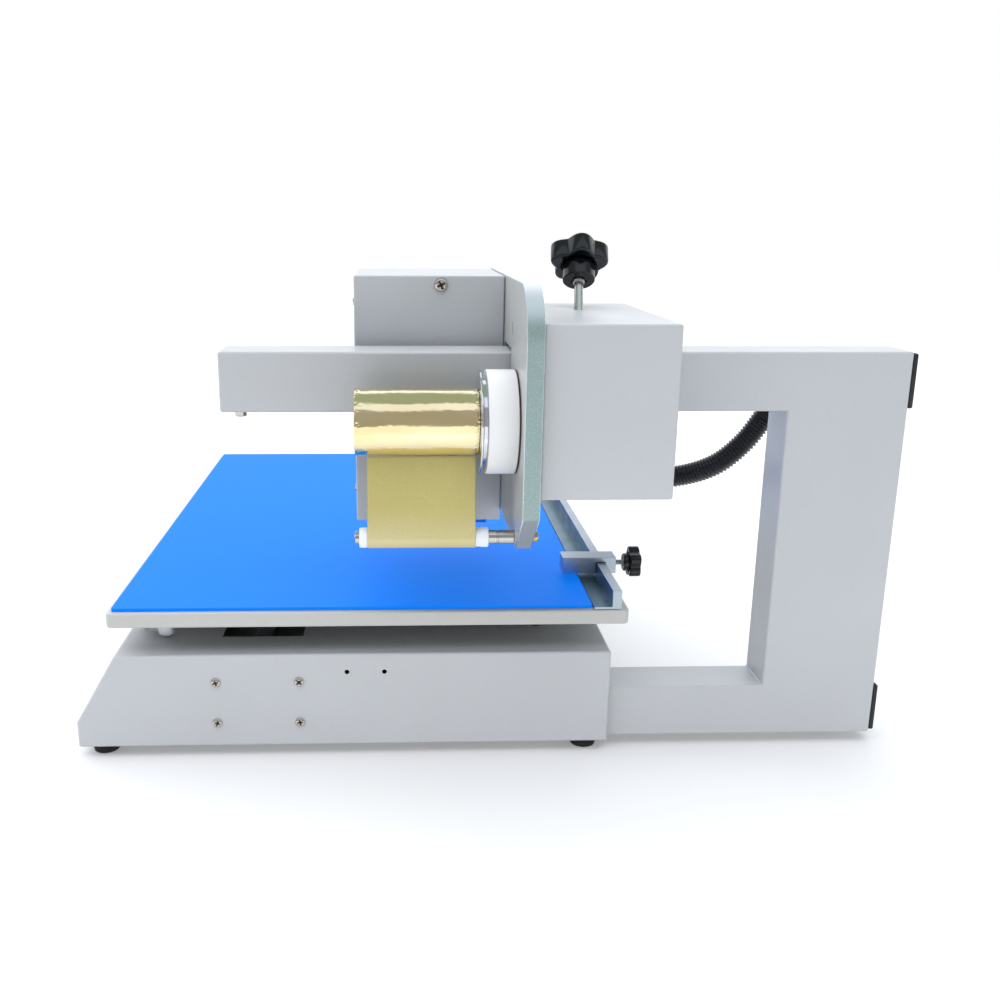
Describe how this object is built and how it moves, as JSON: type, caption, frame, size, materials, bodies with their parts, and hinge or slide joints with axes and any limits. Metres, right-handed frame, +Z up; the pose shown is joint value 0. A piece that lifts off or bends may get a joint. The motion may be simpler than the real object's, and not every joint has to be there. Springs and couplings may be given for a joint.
{
  "type": "hot foil stamper",
  "caption": "Desktop digital hot foil stamper: moving bed with silicone pad and sliding stop under a foil print head that traverses a cantilever beam.",
  "frame": {"origin": "on the table surface, under the centre of the bounding box of the whole machine with its bed fully back", "axes": "+X along the beam towards the post, +Y towards the back, along the bed's travel, +Z up"},
  "size_m": [0.6848, 0.6824, 0.4324],
  "materials": {
    "grey_coat": "light grey textured powder coat",
    "warm_coat": "warm white powder coat on aluminium plate",
    "aluminium": "satin anodised",
    "steel": "ground and polished",
    "dark_steel": "blackened",
    "black_plastic": "glossy moulded plastic",
    "rubber": "matt",
    "white_plastic": "smooth turned plastic",
    "nylon": "smooth turned nylon",
    "blue_silicone": "smooth matt silicone",
    "gold_foil": "metallised gold film",
    "green_board": "solder mask",
    "conduit": "corrugated nylon"
  },
  "bodies": {
    "frame": {"base_shell": "grey_coat", "base_bottom_plate": "grey_coat", "foot_front_left": "rubber", "foot_front_right": "rubber", "foot_rear_left": "rubber", "foot_rear_right": "rubber", "rail_beam": "dark_steel", "y_rail_left": "steel", "y_rail_right": "steel", "roller_bracket": "dark_steel", "y_motor": "dark_steel", "y_belt": "rubber", "beam_tube": "grey_coat", "post_tube": "grey_coat", "lower_arm_tube": "grey_coat", "end_plug_upper": "black_plastic", "end_plug_lower": "black_plastic", "x_rail": "steel", "x_motor": "dark_steel", "x_belt": "rubber", "control_board": "green_board", "power_supply": "aluminium", "power_inlet": "black_plastic", "conduit": "conduit", "gland_frame": "black_plastic"},
    "power_switch": {"power_switch": "black_plastic"},
    "support_roller": {"support_roller": "nylon"},
    "y_idler": {"y_idler_pulley": "aluminium"},
    "y_drive": {"y_drive_pulley": "aluminium"},
    "x_idler": {"x_idler_pulley": "aluminium"},
    "x_drive": {"x_drive_pulley": "aluminium"},
    "bed": {"bed_plate": "warm_coat", "silicone_pad": "blue_silicone", "fence_rail": "aluminium", "bed_slide_left": "dark_steel", "bed_slide_right": "dark_steel"},
    "stop": {"stop_block": "aluminium"},
    "stop_pad": {"stop_pad": "nylon"},
    "stop_knob": {"stop_knob": "black_plastic"},
    "head": {"side_plate": "aluminium", "drive_box": "grey_coat", "head_cover": "grey_coat", "x_slide_block": "dark_steel", "press_rail": "steel", "guide_shaft": "steel", "takeup_motor": "dark_steel", "lift_motor": "dark_steel", "gland_head": "black_plastic", "foil_web": "gold_foil"},
    "press_unit": {"press_frame": "aluminium", "print_head": "aluminium"},
    "lift_screw": {"lift_screw": "steel"},
    "supply_spool": {"supply_spindle": "steel", "foil_roll": "gold_foil", "spool_flange": "steel", "brake_drum": "white_plastic"},
    "takeup_spool": {"takeup_spool": "gold_foil"},
    "guide_roller": {"guide_roller": "nylon"},
    "lock_shoe": {"lock_shoe": "white_plastic"},
    "press_knob": {"press_knob": "black_plastic"}
  },
  "joints": [
    {"name": "bed_travel", "type": "slide", "parent": "frame", "child": "bed", "axis": [0, 1, 0], "range_m": [-0.36, 0]},
    {"name": "y_drive_turn", "type": "hinge", "parent": "frame", "child": "y_drive", "pos_m": [-0.13935, 0.2402, 0.06], "axis": [1, 0, 0], "range_deg": [-5, 2430]},
    {"name": "y_idler_turn", "type": "hinge", "parent": "frame", "child": "y_idler", "pos_m": [-0.13935, -0.2198, 0.06], "axis": [1, 0, 0], "range_deg": [-5, 2430]},
    {"name": "support_roller_turn", "type": "hinge", "parent": "frame", "child": "support_roller", "pos_m": [-0.27225, -0.2058, 0.1052], "axis": [1, 0, 0], "range_deg": [-5, 1670]},
    {"name": "head_traverse", "type": "slide", "parent": "frame", "child": "head", "axis": [1, 0, 0], "range_m": [-0.205, 0.105], "deforming": ["conduit"]},
    {"name": "x_drive_turn", "type": "hinge", "parent": "frame", "child": "x_drive", "pos_m": [0.30315, -0.2184, 0.33], "axis": [0, 0, 1], "range_deg": [-710, 1385]},
    {"name": "x_idler_turn", "type": "hinge", "parent": "frame", "child": "x_idler", "pos_m": [-0.18235, -0.2184, 0.33], "axis": [0, 0, 1], "range_deg": [-710, 1385]},
    {"name": "press_stroke", "type": "slide", "parent": "head", "child": "press_unit", "axis": [0, 0, 1], "range_m": [-0.041, 0], "deforming": ["foil_web"]},
    {"name": "lift_screw_turn", "type": "hinge", "parent": "head", "child": "lift_screw", "pos_m": [0.00145, -0.1218, 0.3], "axis": [0, 0, 1], "range_deg": [-5, 3700]},
    {"name": "supply_turn", "type": "hinge", "parent": "head", "child": "supply_spool", "pos_m": [-0.04235, -0.2836, 0.2943], "axis": [1, 0, 0], "continuous": true},
    {"name": "guide_roller_turn", "type": "hinge", "parent": "head", "child": "guide_roller", "pos_m": [-0.05335, -0.2919, 0.2063], "axis": [1, 0, 0], "continuous": true},
    {"name": "takeup_turn", "type": "hinge", "parent": "head", "child": "takeup_spool", "pos_m": [-0.05435, -0.0998, 0.3], "axis": [1, 0, 0], "continuous": true},
    {"name": "lock_travel", "type": "slide", "parent": "head", "child": "lock_shoe", "axis": [0.0621, 0.5878, 0.8066], "range_m": [-0.0048, 0.004]},
    {"name": "press_knob_turn", "type": "hinge", "parent": "lock_shoe", "child": "press_knob", "pos_m": [0.07375, -0.2092, 0.3718], "axis": [0.0621, 0.5878, 0.8066], "range_deg": [-1380, 1150]},
    {"name": "stop_slide", "type": "slide", "parent": "bed", "child": "stop", "axis": [0, 1, 0], "range_m": [-0.068, 0.475]},
    {"name": "stop_pad_travel", "type": "slide", "parent": "stop", "child": "stop_pad", "axis": [1, 0, 0], "range_m": [-0.0005, 0.0018]},
    {"name": "stop_knob_turn", "type": "hinge", "parent": "stop_pad", "child": "stop_knob", "pos_m": [0.13765, -0.1684, 0.1442], "axis": [1, 0, 0], "range_deg": [-220, 805]},
    {"name": "power_switch_rock", "type": "hinge", "parent": "frame", "child": "power_switch", "pos_m": [0.03965, 0.2642, 0.052], "axis": [1, 0, 0], "range_deg": [0, 16]}
  ],
  "couplings": [
    {"joint": "y_drive_turn", "follows": "bed_travel", "rad_per_m": -117.65},
    {"joint": "y_idler_turn", "follows": "bed_travel", "rad_per_m": -117.65},
    {"joint": "support_roller_turn", "follows": "bed_travel", "rad_per_m": -80.645},
    {"joint": "x_drive_turn", "follows": "head_traverse", "rad_per_m": -117.65},
    {"joint": "x_idler_turn", "follows": "head_traverse", "rad_per_m": -117.65},
    {"joint": "lift_screw_turn", "follows": "press_stroke", "rad_per_m": -1570.8},
    {"joint": "guide_roller_turn", "follows": "supply_turn", "ratio": 3.3117},
    {"joint": "takeup_turn", "follows": "supply_turn", "ratio": 1.1591},
    {"joint": "lock_travel", "follows": "press_knob_turn", "m_per_rad": 0.00019894},
    {"joint": "stop_pad_travel", "follows": "stop_knob_turn", "m_per_rad": 0.00012732}
  ]
}
